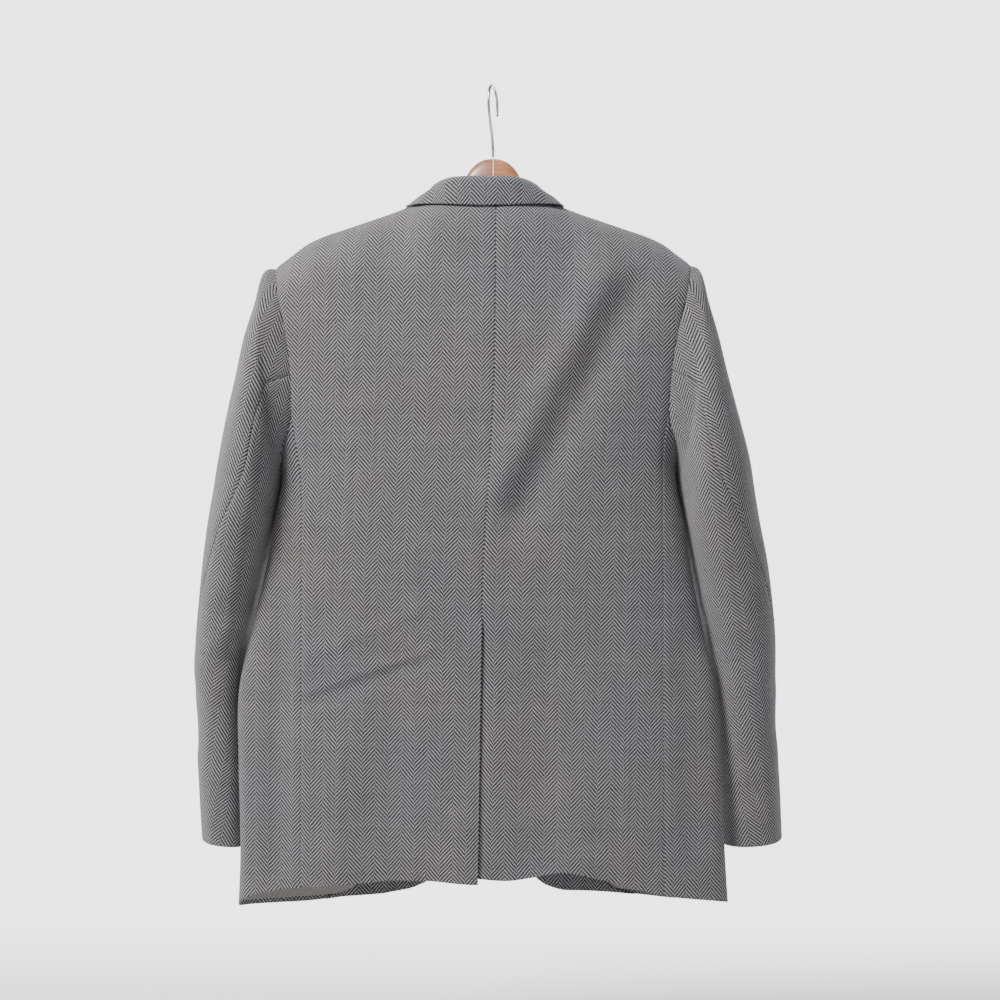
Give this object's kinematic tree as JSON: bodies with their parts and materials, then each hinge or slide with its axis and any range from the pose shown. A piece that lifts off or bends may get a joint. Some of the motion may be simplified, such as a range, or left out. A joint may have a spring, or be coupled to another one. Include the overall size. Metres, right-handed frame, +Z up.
{
  "type": "tweed jacket on a wooden coat hanger",
  "caption": "Hanging single-breasted herringbone jacket with notch lapels, slanting flapped pockets and a centre vent, open at neck, hem and cuffs, on a wooden hanger with a steel hook.",
  "frame": {"origin": "inside top of the hanger's hook, where a rail or a wall hook carries it", "axes": "+Z up; the jacket's back faces +Y and its front -Y; the wearer's left is +X"},
  "size_m": [0.694, 0.1839, 0.9511],
  "materials": {
    "herringbone_tweed": "dry woollen herringbone with a short nap",
    "satin_lining": "grey satin with a soft shine",
    "horn_button": "dark brown horn, semi-matte",
    "varnished_wood": "clear satin varnish on pale reddish wood",
    "steel_wire": "plain drawn wire, satin"
  },
  "bodies": {
    "root": {"back_left": "herringbone_tweed", "back_right": "herringbone_tweed", "button_cuff_left_1": "horn_button", "button_cuff_left_2": "horn_button", "button_cuff_left_3": "horn_button", "button_cuff_right_1": "horn_button", "button_cuff_right_2": "horn_button", "button_cuff_right_3": "horn_button", "button_front_1": "horn_button", "button_front_2": "horn_button", "button_front_3": "horn_button", "collar": "herringbone_tweed", "facing_left": "herringbone_tweed", "facing_right": "herringbone_tweed", "front_left": "herringbone_tweed", "front_right": "herringbone_tweed", "hanger_hook": "steel_wire", "hanger_left": "varnished_wood", "hanger_right": "varnished_wood", "lapel_left": "herringbone_tweed", "lapel_right": "herringbone_tweed", "lining_back_left": "satin_lining", "lining_back_right": "satin_lining", "lining_front_left": "satin_lining", "lining_front_right": "satin_lining", "lining_side_left": "satin_lining", "lining_side_right": "satin_lining", "pocket_flap_left": "herringbone_tweed", "pocket_flap_right": "herringbone_tweed", "side_left": "herringbone_tweed", "side_right": "herringbone_tweed", "top_sleeve_left": "herringbone_tweed", "top_sleeve_right": "herringbone_tweed", "under_sleeve_left": "herringbone_tweed", "under_sleeve_right": "herringbone_tweed"}
  },
  "joints": []
}
